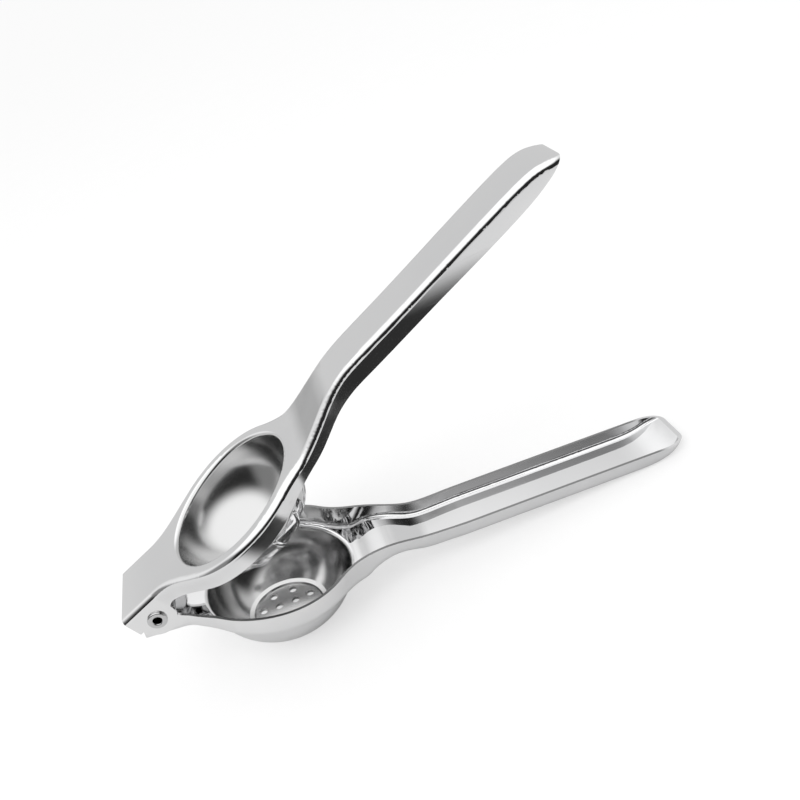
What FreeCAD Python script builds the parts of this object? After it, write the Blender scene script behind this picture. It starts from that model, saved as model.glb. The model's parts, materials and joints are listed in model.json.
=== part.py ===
import FreeCAD, Part
import math
import os

V = FreeCAD.Vector

# Hinged lemon squeezer, sizes in millimetres.
# Each lever is shaped in its own frame: hinge axis at the origin along Y,
# X towards the handle tip, Z up. stand() then sets both down on the table.

# Sheet steel and hinge
SHEET = 1.2
HINGE_HALF = 15.9
SIDE_GAP = 0.35
PIN_R = 2.6
PIN_BORE_R = 1.7
PIN_GAP = 0.05
PIN_HEAD_R = 3.8
PIN_HEAD_T = 1.0
LUG_R_UP = 7.6
LUG_R_LOW = 6.9

# Strainer bowl of the lower lever
BOWL_X = 47.8
BOWL_R = 29.4
LEDGE_Z = -9.0
STRAINER_Z = -28.6
STRAINER_R = 14.4
STEP_H = 0.8
STEP_W = 1.5
HOLE_R = 1.6
OUTER_HOLES = 8
OUTER_HOLES_R = 11.2
INNER_HOLES = 4
INNER_HOLES_R = 5.2
HOLES_TURN = 30.0
HEAD_R_LOW = 34.0

# Press cup of the upper lever
CUP_X = 50.6
CUP_R = 28.8
FACE_Z = 9.3
CUP_DEPTH = 28.5
HEAD_R_UP = 35.2
RIB_COUNT = 12
RIB_R = 1.2
RIB_FROM_DEG = 16.0
RIB_TO_DEG = 58.0

# Handles, and the rounded bends of the sheet
LOW_HALF = 13.1
UP_HALF = 12.0
TIP_X = 228.2
LOW_BEND = 3.0
UP_BEND = 2.6
LIP = 2.0
BLOCK = 70.0
REAR = -30.0
RUN_POINTS = 14

# Pose in which the tool is drawn
OPEN_DEG = 32.0

# Side view of the lower lever: underside of its floor, then top of its walls
LOW_FLOOR = [(REAR, LEDGE_Z - SHEET), (80.0, LEDGE_Z - SHEET), (85.0, -8.6), (91.0, -7.0),
             (99.0, -7.4), (108.0, -9.4), (116.0, -9.3), (130.0, -8.2), (170.0, -5.2),
             (200.0, -2.9), (209.0, -1.9), (217.0, 0.6), (224.0, 5.2), (231.0, 12.6)]
LOW_WALL = [(11.5, -3.4), (16.0, -3.4), (22.0, -2.4), (34.0, -0.8), (50.0, -0.5), (70.0, -0.1),
            (84.0, 0.8), (92.0, 0.3), (100.0, -1.2), (108.0, -2.4), (116.0, -2.3),
            (130.0, -1.3), (170.0, 1.8), (210.0, 4.8), (236.0, 6.7)]

# The same for the upper lever: its flat face, then the lower edge of its flanges
UP_FACE = [(REAR, FACE_Z), (82.0, FACE_Z), (87.0, 10.0), (93.0, 11.8), (100.0, 14.4),
           (108.0, 17.3), (115.0, 19.2), (123.0, 20.2), (136.0, 20.9), (170.0, 22.9),
           (200.0, 24.7), (210.0, 24.9), (218.0, 23.6), (224.5, 20.6), (230.0, 15.2)]
UP_EDGE = [(11.5, 1.8), (30.0, 1.6), (50.0, 1.5), (72.0, 1.9), (84.0, 3.4), (92.0, 4.8),
           (100.0, 7.4), (108.0, 10.0), (116.0, 11.3), (128.0, 12.0), (160.0, 13.8),
           (200.0, 16.0), (210.0, 17.2), (219.0, 19.3), (236.0, 24.5)]


def spline(points):
    curve = Part.BSplineCurve()
    curve.interpolate([V(x, 0.0, z) for x, z in points])
    return curve.toShape()


def floor_line(points):
    # Dead flat from the rear to the second point, one smooth curve from there on
    bend = Part.BSplineCurve()
    pts = [V(x, 0.0, z) for x, z in points[1:]]
    rise = pts[-1] - pts[-2]
    bend.interpolate(Points=pts, InitialTangent=V(1.0, 0, 0), FinalTangent=rise.normalize())
    rear = V(points[0][0], 0.0, points[0][1])
    return [Part.makeLine(rear, pts[0]), bend.toShape()]


def shifted(points, distance):
    # Moves each point square to the line it lies on; the first two are its flat run
    moved = [(x, z + distance) for x, z in points[:2]]
    last = len(points) - 1
    for i, (x, z) in enumerate(points[2:], 2):
        ax, az = points[i - 1]
        bx, bz = points[min(i + 1, last)]
        length = math.hypot(bx - ax, bz - az)
        moved.append((x - distance * (bz - az) / length, z + distance * (bx - ax) / length))
    return moved


def side_block(points, top):
    # Everything between a floor line and the level called top
    edges = floor_line(points)
    first = edges[0].Vertexes[0].Point
    last = edges[-1].Vertexes[-1].Point
    corners = [last, V(last.x, 0.0, top), V(first.x, 0.0, top), first]
    face = Part.Face(Part.Wire(edges + Part.makePolygon(corners).Edges))
    face.translate(V(0.0, -BLOCK, 0.0))
    return face.extrude(V(0.0, 2.0 * BLOCK, 0.0))


def plan_curve(points, start, end):
    curve = Part.BSplineCurve()
    pts = [V(x, y, 0.0) for x, y in points]
    curve.interpolate(Points=pts, InitialTangent=V(start[0], start[1], 0.0),
                      FinalTangent=V(end[0], end[1], 0.0))
    return curve.toShape()


def pushed_in(edge, distance, count):
    # Points of an outline run, each moved square to it towards the middle plane
    points = []
    for p in edge.discretize(Number=count):
        along = edge.Curve.tangent(edge.Curve.parameter(p))[0]
        points.append(p + V(along.y, -along.x, 0.0) * distance)
    return points


def smooth_run(edge, distance):
    # A curved run of the outline, redrawn at a distance inside itself
    curve = Part.BSplineCurve()
    ends = [edge.Curve.tangent(u)[0] for u in (edge.FirstParameter, edge.LastParameter)]
    curve.interpolate(Points=pushed_in(edge, distance, RUN_POINTS),
                      InitialTangent=ends[0], FinalTangent=ends[1])
    return curve.toShape()


def plan_face(inset, half, waist, head_x, head_r, on_x, off_x, neck, handle_half, tip_x):
    # Seen from above: straight hinge cheeks, round head, waisted neck, handle, round tip
    on_y = math.sqrt(head_r ** 2 - (on_x - head_x) ** 2)
    off_y = math.sqrt(head_r ** 2 - (off_x - head_x) ** 2)
    on_dir = (on_y / head_r, (head_x - on_x) / head_r)
    off_dir = (off_y / head_r, (head_x - off_x) / head_r)
    straight_x = waist[0][0]
    cheek = Part.makeLine(V(REAR, half, 0), V(straight_x, half, 0))
    swell = plan_curve([(straight_x, half)] + waist[1:] + [(on_x, on_y)], (1.0, 0.0), on_dir)
    ring = Part.Arc(V(on_x, on_y, 0), V(head_x, head_r, 0), V(off_x, off_y, 0)).toShape()
    end_x = neck[-1][0]
    taper = plan_curve([(off_x, off_y)] + neck, off_dir, (1.0, 0.0))
    grip = Part.makeLine(V(end_x, handle_half, 0), V(tip_x - handle_half, handle_half, 0))
    if inset > 0.0:
        cheek = Part.makeLine(*pushed_in(cheek, inset, 2))
        swell = smooth_run(swell, inset)
        ring = Part.Arc(*pushed_in(ring, inset, 3)).toShape()
        taper = smooth_run(taper, inset)
        grip = Part.makeLine(*pushed_in(grip, inset, 2))
    near_side = [cheek, swell, ring, taper, grip]
    far_side = [e.mirror(V(0, 0, 0), V(0, 1, 0)) for e in near_side]
    tip_y = handle_half - inset
    tip = Part.Arc(V(tip_x - handle_half, tip_y, 0), V(tip_x - inset, 0, 0),
                   V(tip_x - handle_half, -tip_y, 0)).toShape()
    back = Part.makeLine(V(REAR, inset - half, 0), V(REAR, half - inset, 0))
    wire = Part.Wire(Part.__sortEdges__(near_side + [tip] + far_side + [back]))
    return Part.Face(wire)


def low_plan(inset):
    waist = [(7.6, 0.0), (14.0, 16.8), (21.0, 21.8)]
    neck = [(80.0, 18.8), (88.0, 16.2), (96.0, 14.1), (104.0, 12.8), (112.0, 12.5),
            (122.0, 12.9), (132.0, LOW_HALF)]
    return plan_face(inset, HINGE_HALF - SHEET - SIDE_GAP, waist, BOWL_X, HEAD_R_LOW, 29.0, 71.0,
                     neck, LOW_HALF, TIP_X)


def up_plan(inset):
    waist = [(6.0, 0.0), (13.0, 17.2), (21.0, 22.0)]
    neck = [(84.0, 20.3), (92.0, 17.9), (100.0, 15.7), (108.0, 13.5), (115.0, 12.3),
            (124.0, UP_HALF)]
    return plan_face(inset, HINGE_HALF, waist, CUP_X, HEAD_R_UP, 31.0, 73.0,
                     neck, UP_HALF, TIP_X)


def rounded_block(plan, floor_points, bend):
    # Solid above the floor line inside the plan, its lower edge rounded by the bend
    column = plan.extrude(V(0, 0, 2.0 * BLOCK))
    column.translate(V(0, 0, -BLOCK))
    body = column.common(side_block(floor_points, BLOCK))
    edges = []
    for face in body.Faces:
        u0, u1, v0, v1 = face.ParameterRange
        lean = abs(face.normalAt(0.5 * (u0 + u1), 0.5 * (v0 + v1)).z)
        if lean < 0.3 or face.CenterOfMass.z > 0.9 * BLOCK:
            continue
        edges += [e for e in face.Edges if abs(e.CenterOfMass.y) > 1.0 or e.CenterOfMass.x > 150.0]
    return body.makeFillet(bend, edges)


def tray(plan, floor_points, bend):
    # Sheet pressed into a channel: rounded block less the same block one sheet smaller
    outer = rounded_block(plan(0.0), floor_points, bend)
    inner = rounded_block(plan(SHEET), shifted(floor_points, SHEET), bend - SHEET)
    return outer.cut(inner)


def cheek_profile(radius, edge_points, back_x, join_x):
    # Side view kept of a tray: everything inside this outline, hinge lug included
    first_x, first_z = edge_points[0]
    toe = V(radius, 0.0, 0.0)
    lug = Part.Arc(V(-radius, 0, 0), V(0, 0, radius), toe).toShape()
    start = spline(edge_points)
    blend = Part.BSplineCurve()
    blend.interpolate(Points=[toe, V(join_x, 0, 0.45 * first_z), V(first_x, 0, first_z)],
                      InitialTangent=V(0, 0, -1.0), FinalTangent=start.tangentAt(start.FirstParameter))
    last = start.Vertexes[-1].Point
    back = [V(last.x, 0, -BLOCK), V(back_x, 0, -BLOCK), V(back_x, 0, 0)]
    outline = [lug, blend.toShape(), start, Part.makePolygon([last] + back)]
    if abs(back_x + radius) > 0.001:
        outline.append(Part.makeLine(V(back_x, 0, 0), V(-radius, 0, 0)))
    face = Part.Face(Part.Wire(Part.__sortEdges__(sum([s.Edges for s in outline], []))))
    face.translate(V(0, -BLOCK, 0))
    return face.extrude(V(0, 2.0 * BLOCK, 0))


def turned(points, centre_x):
    # Solid of revolution about a vertical axis from straight runs and three-point arcs
    edges = []
    here = V(points[0][0], 0, points[0][1])
    for step in points[1:]:
        there = V(step[0], 0, step[1])
        if len(step) == 4:
            edges.append(Part.Arc(here, V(step[2], 0, step[3]), there).toShape())
        else:
            edges.append(Part.makeLine(here, there))
        here = there
    solid = Part.Face(Part.Wire(edges)).revolve(V(0, 0, 0), V(0, 0, 1), 360)
    solid.translate(V(centre_x, 0, 0))
    return solid


def on_arc(cx, cz, radius, degrees):
    a = math.radians(degrees)
    return (cx + radius * math.cos(a), cz + radius * math.sin(a))


def lip_point(r_wall, z_flat, lip, sign):
    # Middle of the rounded lip between a flat face and the wall it turns into
    k = lip * (1.0 - math.sqrt(0.5))
    return (r_wall + k, z_flat - sign * k)


def bowl_shell():
    # Deep-drawn bowl: rounded lip, ball-shaped wall, small step, flat strainer floor
    wall_cx = 2.3
    wall_cz = -3.3
    wall_r = math.hypot(BOWL_R - wall_cx, LEDGE_Z - LIP - wall_cz)
    top_deg = math.degrees(math.atan2(LEDGE_Z - LIP - wall_cz, BOWL_R - wall_cx))
    shelf_z = STRAINER_Z + STEP_H
    foot_deg = math.degrees(math.asin((shelf_z + 0.4 - wall_cz) / wall_r))
    lip_r = BOWL_R + LIP
    inner = []
    outer = []
    for line, t in ((inner, 0.0), (outer, SHEET)):
        r = wall_r + t
        wall_top = on_arc(wall_cx, wall_cz, r, top_deg)
        foot = on_arc(wall_cx, wall_cz, r, foot_deg)
        middle = on_arc(wall_cx, wall_cz, r, 0.5 * (top_deg + foot_deg))
        mouth = (lip_r, LEDGE_Z - t)
        bulge = lip_point(BOWL_R + 0.9 * t, LEDGE_Z - t, LIP - 0.9 * t, 1.0)
        line.append(mouth)
        line.append((wall_top[0], wall_top[1], bulge[0], bulge[1]))
        line.append((foot[0], foot[1], middle[0], middle[1]))
        line.append((STRAINER_R + STEP_W * 0.4 + 0.5 * t, shelf_z - t))
        line.append((STRAINER_R + 0.5 * t, STRAINER_Z - t))
        line.append((0.0, STRAINER_Z - t))
    axis_top = [(0.0, LEDGE_Z)]
    solid_out = turned(axis_top + [(lip_r, LEDGE_Z)] + outer + axis_top, BOWL_X)
    solid_in = turned(axis_top + inner + axis_top, BOWL_X)
    return solid_out.cut(solid_in)


def strainer_holes():
    drills = []
    rows = ((OUTER_HOLES, OUTER_HOLES_R, HOLES_TURN),
            (INNER_HOLES, INNER_HOLES_R, HOLES_TURN + 180.0 / OUTER_HOLES))
    for count, radius, turn in rows:
        for k in range(count):
            a = math.radians(turn + 360.0 * k / count)
            at = V(BOWL_X + radius * math.cos(a), radius * math.sin(a), STRAINER_Z - 3.0 * SHEET)
            drills.append(Part.makeCylinder(HOLE_R, 6.0 * SHEET, at))
    return drills[0].multiFuse(drills[1:])


def hinge_bore(radius):
    return Part.makeCylinder(radius, 2.0 * BLOCK, V(0, -BLOCK, 0), V(0, 1, 0))


def lower_lever():
    # One stamping: channel handle, strainer bowl and inner hinge cheeks
    body = tray(low_plan, LOW_FLOOR, LOW_BEND)
    body = body.common(cheek_profile(LUG_R_LOW, LOW_WALL, -LUG_R_LOW, 7.2))
    mouth = Part.makeCylinder(BOWL_R + LIP, 6.0 * SHEET, V(BOWL_X, 0, LEDGE_Z - 3.0 * SHEET))
    body = body.cut(mouth).fuse(bowl_shell())
    body = body.cut(strainer_holes())
    return body.cut(hinge_bore(PIN_R)).removeSplitter()


def press_cup():
    # Deep-drawn press cup, open at the top, with raised ribs under its nose
    wall_r_top = CUP_R
    top_z = FACE_Z - LIP
    nose_z = FACE_Z - CUP_DEPTH + SHEET
    ball_z = (wall_r_top ** 2 + top_z ** 2 - nose_z ** 2) / (2.0 * (top_z - nose_z))
    ball_r = ball_z - nose_z
    top_deg = math.degrees(math.atan2(top_z - ball_z, wall_r_top))
    lip_r = CUP_R + LIP
    shells = []
    for t in (SHEET, 0.0):
        r = ball_r + t
        wall_top = on_arc(0.0, ball_z, r, top_deg)
        middle = on_arc(0.0, ball_z, r, 0.5 * (top_deg - 90.0))
        bulge = lip_point(CUP_R + 0.95 * t, FACE_Z - t, LIP - 0.95 * t, 1.0)
        line = [(0.0, FACE_Z), (lip_r, FACE_Z)]
        if t > 0.0:
            line.append((lip_r, FACE_Z - t))
        line += [(wall_top[0], wall_top[1], bulge[0], bulge[1]),
                 (0.0, ball_z - r, middle[0], middle[1]), (0.0, FACE_Z)]
        shells.append(turned(line, CUP_X))
    ribs = []
    rib_path = ball_r + SHEET - 0.35 * RIB_R
    for k in range(RIB_COUNT):
        ends = []
        for degrees in (RIB_FROM_DEG, RIB_TO_DEG):
            a = math.radians(degrees)
            ends.append(V(rib_path * math.sin(a), 0, -rib_path * math.cos(a)))
        disc = Part.Face(Part.Wire(Part.makeCircle(RIB_R, ends[0], V(ends[0].z, 0, -ends[0].x))))
        bead = disc.revolve(V(0, 0, 0), V(0, -1, 0), RIB_TO_DEG - RIB_FROM_DEG)
        rib = bead.fuse([Part.makeSphere(RIB_R, e) for e in ends])
        rib.translate(V(0, 0, ball_z))
        rib.rotate(V(0, 0, 0), V(0, 0, 1), 360.0 * (k + 0.5) / RIB_COUNT)
        rib.translate(V(CUP_X, 0, 0))
        ribs.append(rib)
    return shells[0].fuse(ribs).cut(shells[1])


def flipped(points):
    return [(x, -z) for x, z in points]


def upper_lever():
    # One stamping, open downwards: flat face, press cup, flanges and outer hinge cheeks
    body = tray(up_plan, flipped(UP_FACE), UP_BEND)
    body = body.common(cheek_profile(LUG_R_UP, flipped(UP_EDGE), -LUG_R_UP - 1.6, 8.2))
    body = body.mirror(V(0, 0, 0), V(0, 0, 1))
    mouth = Part.makeCylinder(CUP_R + LIP, 6.0 * SHEET, V(CUP_X, 0, FACE_Z - 3.0 * SHEET))
    body = body.cut(mouth).fuse(press_cup())
    return body.cut(hinge_bore(PIN_R + PIN_GAP)).removeSplitter()


def hinge_pin():
    # Hollow hinge pin, its two ends rolled over outside the upper lever's cheeks
    seat = HINGE_HALF + PIN_GAP
    pin = Part.makeCylinder(PIN_R, 2.0 * seat, V(0, -seat, 0), V(0, 1, 0))
    for side in (-1.0, 1.0):
        head = Part.makeCylinder(PIN_HEAD_R, PIN_HEAD_T, V(0, side * seat, 0), V(0, side, 0))
        pin = pin.fuse(head)
    pin = pin.removeSplitter()
    rim = [e for e in pin.Edges if abs(abs(e.CenterOfMass.y) - seat - PIN_HEAD_T) < 0.01]
    pin = pin.makeFillet(0.7 * PIN_HEAD_T, rim)
    pin = pin.cut(hinge_bore(PIN_BORE_R))
    mouth = [e for e in pin.Edges if abs(abs(e.CenterOfMass.y) - seat - PIN_HEAD_T) < 0.01
             and e.BoundBox.ZMax < PIN_BORE_R + 0.01]
    return pin.makeFillet(0.5, mouth)


def lowest(outline, degrees):
    a = math.radians(degrees)
    return min(z * math.cos(a) - x * math.sin(a) for x, z in outline)


def stance():
    # Tilt at which bowl and handle both touch the table, and the lift that puts them there
    grip = [(p.x, p.z) for p in floor_line(LOW_FLOOR)[1].discretize(Number=400) if p.x > 120.0]
    foot_r = STRAINER_R + 0.5 * SHEET
    bowl = [(BOWL_X + foot_r, STRAINER_Z - SHEET), (BOWL_X - foot_r, STRAINER_Z - SHEET)]
    low, high = 0.0, 30.0
    for _ in range(40):
        tilt = 0.5 * (low + high)
        if lowest(grip, tilt) > lowest(bowl, tilt):
            low = tilt
        else:
            high = tilt
    return tilt, -lowest(bowl, tilt)


def stand(shape, tilt, lift):
    placed = shape.copy()
    placed.rotate(V(0, 0, 0), V(0, 1, 0), tilt)
    placed.translate(V(0, 0, lift))
    return placed


def main():
    os.makedirs("parts", exist_ok=True)
    tilt, lift = stance()
    upper = upper_lever()
    upper.rotate(V(0, 0, 0), V(0, 1, 0), -OPEN_DEG)
    parts = {"lower_lever": lower_lever(), "upper_lever": upper, "hinge_pin": hinge_pin()}
    placed = {name: stand(shape.Solids[0], tilt, lift) for name, shape in parts.items()}
    boxes = [shape.optimalBoundingBox(True, False) for shape in placed.values()]
    middle = 0.5 * (min(b.XMin for b in boxes) + max(b.XMax for b in boxes))
    for name, shape in placed.items():
        shape.translate(V(-middle, 0, 0))
        shape.exportStep("parts/" + name + ".step")
    print("tilt", tilt, "hinge at", -middle, lift)


main()
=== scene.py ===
import json
import math

import bpy
import bmesh
from mathutils import Matrix, Vector


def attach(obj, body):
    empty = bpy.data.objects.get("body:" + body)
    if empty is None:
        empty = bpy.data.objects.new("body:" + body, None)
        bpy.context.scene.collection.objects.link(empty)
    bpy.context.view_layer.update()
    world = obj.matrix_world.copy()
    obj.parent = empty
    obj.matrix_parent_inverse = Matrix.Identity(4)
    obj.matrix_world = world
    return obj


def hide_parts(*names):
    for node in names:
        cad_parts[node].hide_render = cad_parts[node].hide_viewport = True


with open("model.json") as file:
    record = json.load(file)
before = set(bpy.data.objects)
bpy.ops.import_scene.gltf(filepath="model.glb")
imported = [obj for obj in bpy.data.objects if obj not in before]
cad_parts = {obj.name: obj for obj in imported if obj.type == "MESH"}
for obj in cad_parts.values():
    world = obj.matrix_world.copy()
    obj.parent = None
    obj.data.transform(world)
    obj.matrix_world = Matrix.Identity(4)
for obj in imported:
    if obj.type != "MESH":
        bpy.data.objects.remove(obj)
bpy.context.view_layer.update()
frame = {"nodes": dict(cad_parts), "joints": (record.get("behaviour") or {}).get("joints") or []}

# Where the hinge stands and how far the lower lever leans on the table
HINGE = Vector(frame["joints"][0]["pos_m"])
TILT = math.radians(10.803308)
OPEN = math.radians(32.0)

# Camera fitted to the photo, written in millimetres in the lower lever's own frame
SEEN_RIGHT = Vector((0.9533167838, -0.2544841419, -0.1625574703))
SEEN_DOWN = Vector((-0.2679381725, -0.4645769453, -0.8440245243))
SEEN_AHEAD = Vector((0.1392704038, 0.8481780965, -0.5110750152))
SEEN_SHIFT = Vector((-96.4941907623, 76.2924079257, 346.8065218965))
LENS_PIXELS = 874.5040623521
PICTURE_PIXELS = 800.0
SENSOR_MM = 36.0
MM = 0.001

# White table: its grain and tones, the share of plain white that only the camera
# sees, and the share by which it is darker in the steel
TABLE_SIZE = 80.0
TABLE_GRAIN = (30.0, 3.0)
TABLE_PALE = 0.93
TABLE_GREY = 0.9
TABLE_ROUGH = 0.9
TABLE_WHITE = 0.55
TABLE_DULL = 0.3

# Dark cards that only the steel mirrors: centre, width, depth and soft edge
CARD_TONE = 0.03
CARD_RIGHT = (Vector((0.12, -0.12, 0.0015)), 0.24, 0.15, 0.03)
CARD_FRONT = (Vector((0.02, -0.19, 0.001)), 0.3, 0.17, 0.05)

# Lamp: place, point it is turned to, size and power
KEY_LAMP = (Vector((-0.5, -0.6, 1.1)), Vector((0, 0, 0.05)), 0.9, 6.0)

# Room that the steel mirrors: where each part fades in, and how bright it is
REAR_FADE = (-0.15, 0.3)
REAR_RISE = (-0.12, 0.12)
REAR_LOW = 0.1
REAR_HIGH = 0.58
ROOM_DARK = 0.02
FRONT_FADE = (0.44, 0.56)
FRONT_LEVEL = 0.08
LEFT_FADE = (0.6, 0.85)
LEFT_LEVEL = 0.25
CEILING_FADE = (0.5, 0.78)
CEILING_LEVEL = 1.3

# Hinge pin ends
PIN_R = 0.0026
PIN_BORE_R = 0.0017
HEAD_R = 0.0038
HEAD_T = 0.0010
HEAD_SEAT = 0.01595
RIM_R = 0.00065
RIM_FROM_DEG = -10.0
LIP_R = 0.0006
SEAT_BEVEL = 0.0002
BEND_STEPS = 8
TURN_STEPS = 64

# Bowl and cup hollows in the lever frames, in metres: centre, and circle of the wall
BOWL_X = 0.0478
BOWL_ARC_X = 0.0023
BOWL_ARC_Z = -0.0033
BOWL_ARC_R = 0.02817
CUP_X = 0.0506
CUP_BALL_Z = 0.01104
CUP_BALL_R = 0.02904
HOLLOW_FROM = 0.0003
HOLLOW_TO = 0.0008
SATIN_ROUGH = 0.16
# Painted shade: colour of the hollows, darker than the polished steel
HOLLOW_PAINTED_SHADE_TONE = 0.66

# Polish of the levers and the pin: tone, haze of smears, depth of buffing marks
LEVER_POLISH = (0.82, 0.05, 0.04)
PIN_POLISH = (0.62, 0.09, 0.07)
MIRROR_ROUGH = 0.035

# Marks in the polish: scale, detail and stretch, and where each begins and ends
SMEAR = (38.0, 4.0)
SMEAR_RANGE = (0.42, 0.72)
CLOUD = (14.0, 3.0)
CLOUD_RANGE = (0.35, 0.75)
BUFFING = (900.0, 2.0, (0.05, 1.0, 1.0))
BUFFING_RANGE = (0.55, 0.8)
SPECKS = (2600.0, 1.0)
SPECKS_RANGE = (0.72, 0.8)
MARK_STRENGTH = 0.04
MARK_DEPTH = 0.00005

# Edges worn bright
WORN_RANGE = (0.52, 0.6)
WORN_TONE = 0.93
WORN_ROUGH = 0.04

# Painted shade on the cut sheet edge of the lower lever, a near-black line: it runs above this
# bent line in the side view
RIM_LOW_Z = -0.0055
RIM_BEND_X = 0.110
RIM_SLOPE = 0.075
RIM_FADE = 0.0003
RIM_END_X = 0.211
RIM_END_FADE = 0.005
RIM_FACING = (0.8, 0.93)
RIM_PAINTED_SHADE_TONE = 0.16
RIM_PAINTED_SHADE_COVER = 0.85
RIM_ROUGH = 0.2


def lever_to_part(v):
    # From the lower lever's own frame to the frame that stands on the table
    c, s = math.cos(TILT), math.sin(TILT)
    return Vector((v.x * c + v.z * s, v.y, v.z * c - v.x * s))


class Value:
    # A number carried by a node socket, with ordinary arithmetic
    def __init__(self, tree, socket):
        self.tree = tree
        self.socket = socket

    def math(self, operation, *others):
        node = self.tree.nodes.new("ShaderNodeMath")
        node.operation = operation
        for slot, value in zip(node.inputs, (self,) + others):
            plug(self.tree, slot, value)
        return Value(self.tree, node.outputs[0])

    def __add__(self, other):
        return self.math("ADD", other)

    __radd__ = __add__

    def __mul__(self, other):
        return self.math("MULTIPLY", other)

    __rmul__ = __mul__

    def __sub__(self, other):
        return self.math("SUBTRACT", other)

    def __rsub__(self, other):
        return (self * -1.0) + other

    def __pow__(self, other):
        return self.math("POWER", other)

    def ramp(self, low, high):
        # 0 below low, 1 above high, smooth in between
        node = self.tree.nodes.new("ShaderNodeMapRange")
        node.interpolation_type = "SMOOTHSTEP"
        plug(self.tree, node.inputs[0], self)
        node.inputs[1].default_value = low
        node.inputs[2].default_value = high
        return Value(self.tree, node.outputs[0])


def plug(tree, slot, value):
    if isinstance(value, Value):
        tree.links.new(value.socket, slot)
    elif isinstance(value, bpy.types.NodeSocket):
        tree.links.new(value, slot)
    else:
        slot.default_value = value


class Finish:
    # One painted or metal finish: a node tree ready to be filled
    def __init__(self, name):
        self.material = bpy.data.materials.new(name)
        self.material.use_nodes = True
        self.tree = self.material.node_tree
        self.tree.nodes.clear()

    def node(self, kind, settings=None, **sockets):
        made = self.tree.nodes.new(kind)
        for key, value in (settings or {}).items():
            setattr(made, key, value)
        for key, value in sockets.items():
            plug(self.tree, made.inputs[key.replace("_", " ")], value)
        return made

    def value(self, socket):
        return Value(self.tree, socket)

    def place(self, stretch=(1.0, 1.0, 1.0)):
        coords = self.node("ShaderNodeTexCoord")
        scaled = self.node("ShaderNodeVectorMath", {"operation": "MULTIPLY"})
        self.tree.links.new(coords.outputs["Object"], scaled.inputs[0])
        scaled.inputs[1].default_value = stretch
        return scaled.outputs[0]

    def noise(self, scale, detail, stretch=(1.0, 1.0, 1.0)):
        made = self.node("ShaderNodeTexNoise", Vector=self.place(stretch),
                         Scale=scale, Detail=detail)
        return self.value(made.outputs[0])

    def blend(self, factor, first, second):
        made = self.node("ShaderNodeMix", {"data_type": "RGBA"})
        plug(self.tree, made.inputs[0], factor)
        plug(self.tree, made.inputs[6], first)
        plug(self.tree, made.inputs[7], second)
        return made.outputs[2]

    def mix(self, factor, first, second):
        made = self.node("ShaderNodeMixShader")
        plug(self.tree, made.inputs[0], factor)
        self.tree.links.new(first.outputs[0], made.inputs[1])
        self.tree.links.new(second.outputs[0], made.inputs[2])
        return made

    def close(self, shader):
        out = self.node("ShaderNodeOutputMaterial")
        self.tree.links.new(shader.outputs[0], out.inputs[0])
        return self.material


def lever_place(f, lean):
    # Place along, across and up in a lever's own frame, in metres from the hinge
    coords = f.node("ShaderNodeTexCoord")
    split = f.node("ShaderNodeSeparateXYZ", Vector=coords.outputs["Object"])
    x, y, z = [f.value(split.outputs[i]) for i in range(3)]
    x = x - HINGE.x
    z = z - HINGE.z
    return x * math.cos(lean) - z * math.sin(lean), y, x * math.sin(lean) + z * math.cos(lean)


def inside_bowl(f):
    # 1 on the hollow side of the bowl's sheet, 0 elsewhere: there it is satin and painted darker
    # as shade
    x, y, z = lever_place(f, TILT)
    out = ((x - BOWL_X) ** 2 + y ** 2) ** 0.5 - BOWL_ARC_X
    away = (out ** 2 + (z - BOWL_ARC_Z) ** 2) ** 0.5
    return 1.0 - away.ramp(BOWL_ARC_R + HOLLOW_FROM, BOWL_ARC_R + HOLLOW_TO)


def lower_rim_painted_shade(f):
    # 1 on the cut edge of the sheet along the top of the lower lever's walls, where a dark line of
    # painted shade goes
    x, _, z = lever_place(f, TILT)
    coords = f.node("ShaderNodeTexCoord")
    split = f.node("ShaderNodeSeparateXYZ", Vector=coords.outputs["Normal"])
    normal_x, normal_z = f.value(split.outputs[0]), f.value(split.outputs[2])
    facing_up = normal_x * math.sin(TILT) + normal_z * math.cos(TILT)
    rise = (x - RIM_BEND_X).math("MAXIMUM", 0.0) * RIM_SLOPE
    above_floor = (z - rise - RIM_LOW_Z).ramp(-RIM_FADE, RIM_FADE)
    before_tip = 1.0 - x.ramp(RIM_END_X, RIM_END_X + RIM_END_FADE)
    return facing_up.ramp(*RIM_FACING) * above_floor * before_tip


def inside_cup(f):
    # 1 on the hollow side of the press cup's sheet, 0 elsewhere: there it is satin and painted
    # darker as shade
    x, y, z = lever_place(f, TILT - OPEN)
    away = ((x - CUP_X) ** 2 + y ** 2 + (z - CUP_BALL_Z) ** 2) ** 0.5
    return 1.0 - away.ramp(CUP_BALL_R + HOLLOW_FROM, CUP_BALL_R + HOLLOW_TO)


def grey(level):
    return (level, level, level, 1.0)


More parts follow.
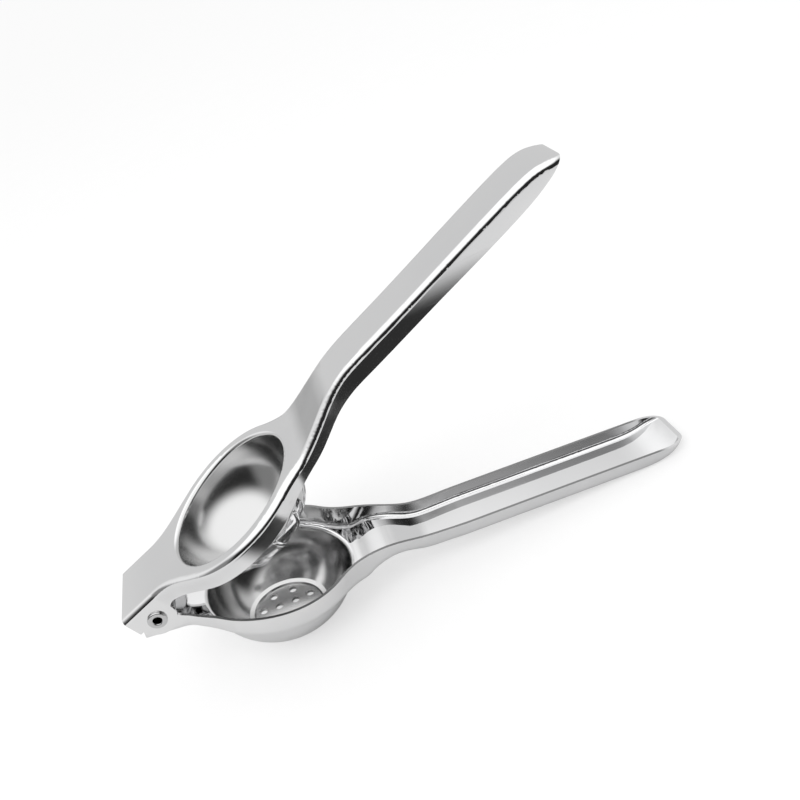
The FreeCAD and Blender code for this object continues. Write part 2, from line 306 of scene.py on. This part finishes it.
def polished_steel(name, bright, haze, scratch, satin_and_painted_shade_place=None, rim_painted_shade_place=None):
    # Mirror-polished stainless steel with faint buffing marks, smears and worn edges;
    # the deep-drawn hollow, where the buffing wheel doesn't reach, is satin, and its colour is
    # painted darker there as shade
    f = Finish(name)
    smear = f.noise(*SMEAR).ramp(*SMEAR_RANGE)
    cloud = f.noise(*CLOUD).ramp(*CLOUD_RANGE)
    buffing = f.noise(*BUFFING).ramp(*BUFFING_RANGE)
    specks = f.noise(*SPECKS).ramp(*SPECKS_RANGE)
    geometry = f.node("ShaderNodeNewGeometry")
    edge = f.value(geometry.outputs["Pointiness"]).ramp(*WORN_RANGE)
    tone = f.blend(cloud * 0.6 + specks * 0.25, (bright, bright, bright * 1.005, 1.0),
                   (bright * 0.9, bright * 0.905, bright * 0.915, 1.0))
    tone = f.blend(edge * 0.5, tone, grey(WORN_TONE))
    if satin_and_painted_shade_place:
        # Painted shade: the hollow is painted darker as well as made satin
        satin_and_painted_shade = satin_and_painted_shade_place(f)
        tone = f.blend(satin_and_painted_shade, tone, grey(HOLLOW_PAINTED_SHADE_TONE))
    rough = smear * haze + cloud * (haze * 0.5) + buffing * scratch
    rough = rough + edge * WORN_ROUGH + MIRROR_ROUGH
    if rim_painted_shade_place:
        # Painted shade: the cut edge is painted near black here, and made rougher
        rim = rim_painted_shade_place(f)
        tone = f.blend(rim * RIM_PAINTED_SHADE_COVER, tone, grey(RIM_PAINTED_SHADE_TONE))
        rough = rough + rim * RIM_ROUGH
    relief = buffing * 0.5 + smear * 0.6
    if satin_and_painted_shade_place:
        rough = rough * (1.0 - satin_and_painted_shade * 0.8) + satin_and_painted_shade * (buffing * 0.02 + SATIN_ROUGH)
        relief = relief * (1.0 - satin_and_painted_shade * 0.9)
    bump = f.node("ShaderNodeBump", Strength=MARK_STRENGTH, Distance=MARK_DEPTH, Height=relief)
    shader = f.node("ShaderNodeBsdfPrincipled", Base_Color=tone, Roughness=rough,
                    Metallic=1.0, Normal=bump.outputs[0])
    return f.close(shader)


def paint(obj, material):
    obj.data.materials.clear()
    obj.data.materials.append(material)


def turned_mesh(name, outline, centre, axis, material):
    # Ring of the outline (radius, along) round an axis through centre
    bm = bmesh.new()
    axis = axis.normalized()
    side = axis.orthogonal().normalized()
    other = axis.cross(side)
    rings = []
    for k in range(TURN_STEPS):
        a = 2.0 * math.pi * k / TURN_STEPS
        out = side * math.cos(a) + other * math.sin(a)
        rings.append([bm.verts.new(centre + out * r + axis * h) for r, h in outline])
    for k in range(TURN_STEPS):
        near, far = rings[k], rings[(k + 1) % TURN_STEPS]
        for i in range(len(outline)):
            j = (i + 1) % len(outline)
            bm.faces.new((near[i], near[j], far[j], far[i]))
    bmesh.ops.recalc_face_normals(bm, faces=bm.faces)
    mesh = bpy.data.meshes.new(name)
    bm.to_mesh(mesh)
    bm.free()
    for face in mesh.polygons:
        face.use_smooth = True
    obj = bpy.data.objects.new(name, mesh)
    bpy.context.scene.collection.objects.link(obj)
    paint(obj, material)
    return obj


def round_bend(cx, cy, radius, start, end):
    points = []
    for k in range(BEND_STEPS + 1):
        a = math.radians(start + (end - start) * k / BEND_STEPS)
        points.append((cx + radius * math.cos(a), cy + radius * math.sin(a)))
    return points


def pin_outline():
    # Hollow rivet: tube with both ends rolled over into a rounded rim
    top = HEAD_SEAT + HEAD_T
    rim = round_bend(HEAD_R - RIM_R, top - RIM_R, RIM_R, RIM_FROM_DEG, 90.0)
    lip = round_bend(PIN_BORE_R + LIP_R, top - LIP_R, LIP_R, 90.0, 180.0)
    half = [(PIN_R, HEAD_SEAT), (HEAD_R - SEAT_BEVEL, HEAD_SEAT)] + rim + lip
    return half + [(r, -h) for r, h in reversed(half)]


lower_steel = polished_steel("polished_steel_lower", *LEVER_POLISH, inside_bowl, lower_rim_painted_shade)
upper_steel = polished_steel("polished_steel_upper", *LEVER_POLISH, inside_cup)
pin_steel = polished_steel("pin_steel", *PIN_POLISH)
paint(frame["nodes"]["lower_lever"], lower_steel)
paint(frame["nodes"]["upper_lever"], upper_steel)

pin = turned_mesh("hinge_pin_rolled", pin_outline(), HINGE, Vector((0.0, 1.0, 0.0)), pin_steel)
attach(pin, "lower")
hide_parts("hinge_pin")


def camera():
    data = bpy.data.cameras.new("camera")
    data.sensor_width = SENSOR_MM
    data.lens = LENS_PIXELS * SENSOR_MM / PICTURE_PIXELS
    data.clip_start = 0.01
    data.clip_end = 50.0
    obj = bpy.data.objects.new("camera", data)
    bpy.context.scene.collection.objects.link(obj)
    right, down, ahead = SEEN_RIGHT, SEEN_DOWN, SEEN_AHEAD
    at = -(right * SEEN_SHIFT.x + down * SEEN_SHIFT.y + ahead * SEEN_SHIFT.z) * MM
    turn = Matrix((lever_to_part(right), -lever_to_part(down), -lever_to_part(ahead))).transposed()
    obj.matrix_world = Matrix.Translation(HINGE + lever_to_part(at)) @ turn.to_4x4()
    bpy.context.scene.camera = obj


def flat_piece(name, width, depth, centre):
    mesh = bpy.data.meshes.new(name)
    x, y = width / 2, depth / 2
    mesh.from_pydata([(-x, -y, 0), (x, -y, 0), (x, y, 0), (-x, y, 0)], [], [(0, 1, 2, 3)])
    obj = bpy.data.objects.new(name, mesh)
    bpy.context.scene.collection.objects.link(obj)
    obj.location = centre
    return obj


def soft_card(name, centre, width, depth, edge):
    # Dark flat card on the table with faded edges, seen only in the steel
    obj = flat_piece(name, width, depth, centre)
    f = Finish(name)
    coords = f.node("ShaderNodeTexCoord")
    split = f.node("ShaderNodeSeparateXYZ", Vector=coords.outputs["Object"])
    across = f.value(split.outputs[0]).math("ABSOLUTE")
    along = f.value(split.outputs[1]).math("ABSOLUTE")
    fade = 1.0 - across.ramp(width / 2 - edge, width / 2)
    fade = fade * (1.0 - along.ramp(depth / 2 - edge, depth / 2))
    clear = f.node("ShaderNodeBsdfTransparent")
    shade = f.node("ShaderNodeEmission", Color=grey(CARD_TONE), Strength=1.0)
    paint(obj, f.close(f.mix(fade, clear, shade)))
    obj.visible_camera = False
    obj.visible_shadow = False
    obj.visible_diffuse = False


def floor():
    # White table: it keeps the shadow, and shows a little darker in the steel
    obj = flat_piece("table", TABLE_SIZE, TABLE_SIZE, (0.0, 0.0, 0.0))
    f = Finish("table")
    grain = f.noise(*TABLE_GRAIN)
    tone = f.blend(grain, grey(TABLE_PALE), grey(TABLE_GREY))
    matt = f.node("ShaderNodeBsdfPrincipled", Base_Color=tone, Roughness=TABLE_ROUGH)
    matt.inputs["Specular IOR Level"].default_value = 0.0
    white = f.node("ShaderNodeEmission", Color=grey(1.0), Strength=1.0)
    dull = f.node("ShaderNodeEmission", Color=grey(0.0), Strength=0.0)
    path = f.node("ShaderNodeLightPath")
    seen = f.value(path.outputs["Is Camera Ray"])
    mirrored = f.value(path.outputs["Is Glossy Ray"])
    matt = f.mix(mirrored * TABLE_DULL, matt, dull)
    paint(obj, f.close(f.mix(seen * TABLE_WHITE, matt, white)))


def surroundings():
    # White for the camera and for diffuse light; the steel mirrors a darker room
    # with a bright ceiling, a grey rear wall and a dark front
    world = bpy.data.worlds.new("studio")
    bpy.context.scene.world = world
    world.use_nodes = True
    tree = world.node_tree
    tree.nodes.clear()
    coords = tree.nodes.new("ShaderNodeTexCoord")
    split = tree.nodes.new("ShaderNodeSeparateXYZ")
    tree.links.new(coords.outputs["Generated"], split.inputs[0])
    across, depth, height = [Value(tree, split.outputs[i]) for i in range(3)]
    rear = depth.ramp(*REAR_FADE)
    wall = rear * (height.ramp(*REAR_RISE) * REAR_HIGH + REAR_LOW) + ROOM_DARK
    wall = wall + (1.0 - rear) * height.ramp(*FRONT_FADE) * FRONT_LEVEL
    wall = wall + (across * -1.0).ramp(*LEFT_FADE) * LEFT_LEVEL
    ceiling = height.ramp(*CEILING_FADE)
    mirrored = wall * (1.0 - ceiling) + ceiling * CEILING_LEVEL
    path = tree.nodes.new("ShaderNodeLightPath")
    glossy = Value(tree, path.outputs["Is Glossy Ray"])
    strength = glossy * mirrored + (1.0 - glossy)
    ground = tree.nodes.new("ShaderNodeBackground")
    plug(tree, ground.inputs["Strength"], strength)
    ground.inputs["Color"].default_value = grey(1.0)
    out = tree.nodes.new("ShaderNodeOutputWorld")
    tree.links.new(ground.outputs[0], out.inputs[0])


def lamp(name, place, target, size, power):
    # Square soft lamp, not seen in the steel
    data = bpy.data.lights.new(name, "AREA")
    data.shape = "SQUARE"
    data.size = size
    data.energy = power
    obj = bpy.data.objects.new(name, data)
    bpy.context.scene.collection.objects.link(obj)
    obj.location = place
    obj.rotation_mode = "QUATERNION"
    obj.rotation_quaternion = (target - place).to_track_quat("-Z", "Y")
    obj.visible_glossy = False


surroundings()
floor()
camera()
lamp("key", *KEY_LAMP)
soft_card("shade_right", *CARD_RIGHT)
soft_card("shade_front", *CARD_FRONT)
bpy.context.scene.view_settings.view_transform = "Standard"
